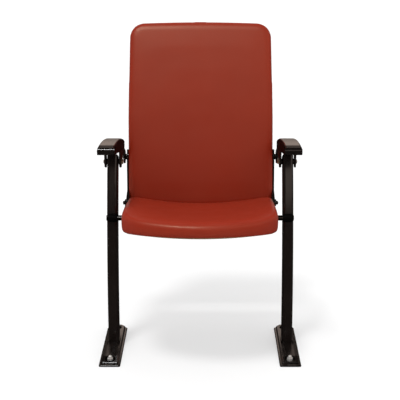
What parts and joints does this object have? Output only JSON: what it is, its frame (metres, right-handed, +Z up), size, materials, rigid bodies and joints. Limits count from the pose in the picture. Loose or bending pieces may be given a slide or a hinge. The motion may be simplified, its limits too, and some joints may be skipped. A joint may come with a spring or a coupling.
{
  "type": "tip-up auditorium seat",
  "caption": "Single tip-up auditorium seat: tall padded back and hinged padded seat between two swept-back floor columns with arched armrests on floor feet.",
  "frame": {"origin": "on the floor, in the middle of the four floor anchors", "axes": "+Z up; the sitter faces -Y; +X is the right-hand side of the front view"},
  "size_m": [0.597, 0.6024, 0.9483],
  "materials": {
    "cast_feet": "satin",
    "dark_paint": "gloss",
    "armrest_gloss": "gloss",
    "black_plastic": "satin",
    "bright_bolts": "polished",
    "brass_nuts": "satin",
    "zinc_steel": "satin",
    "red_upholstery": "satin",
    "birch_plywood": "matte",
    "stop_rubber": "matte"
  },
  "bodies": {
    "frame": {"left_foot": "cast_feet", "right_foot": "cast_feet", "left_column": "dark_paint", "right_column": "dark_paint", "left_column_cap": "black_plastic", "right_column_cap": "black_plastic", "left_armrest": "armrest_gloss", "right_armrest": "armrest_gloss", "left_arm_bracket": "dark_paint", "right_arm_bracket": "dark_paint", "arm_spacers": "dark_paint", "arm_bolts": "bright_bolts", "arm_nuts": "brass_nuts", "armrest_screws": "zinc_steel", "left_back_bracket": "dark_paint", "right_back_bracket": "dark_paint", "back_spacers": "dark_paint", "back_bolts": "bright_bolts", "back_board": "birch_plywood", "back_shell": "black_plastic", "back_cushion": "red_upholstery", "back_screws": "zinc_steel", "left_pivot_pin": "dark_paint", "right_pivot_pin": "dark_paint", "left_stop_dog": "zinc_steel", "right_stop_dog": "zinc_steel", "pivot_pin_clips": "zinc_steel", "stop_pins": "dark_paint", "stop_sleeves": "stop_rubber"},
    "seat": {"seat_cushion": "red_upholstery", "seat_board": "birch_plywood", "seat_pan": "dark_paint", "left_hinge_plate": "zinc_steel", "right_hinge_plate": "zinc_steel", "left_hinge_housing": "black_plastic", "right_hinge_housing": "black_plastic", "pivot_bushes": "black_plastic", "seat_screws": "zinc_steel", "hinge_screws": "zinc_steel"}
  },
  "joints": [
    {"name": "seat_tip", "type": "hinge", "parent": "frame", "child": "seat", "pos_m": [0, 0.05, 0.4], "axis": [-1, 0, 0], "range_deg": [0, 75]}
  ]
}
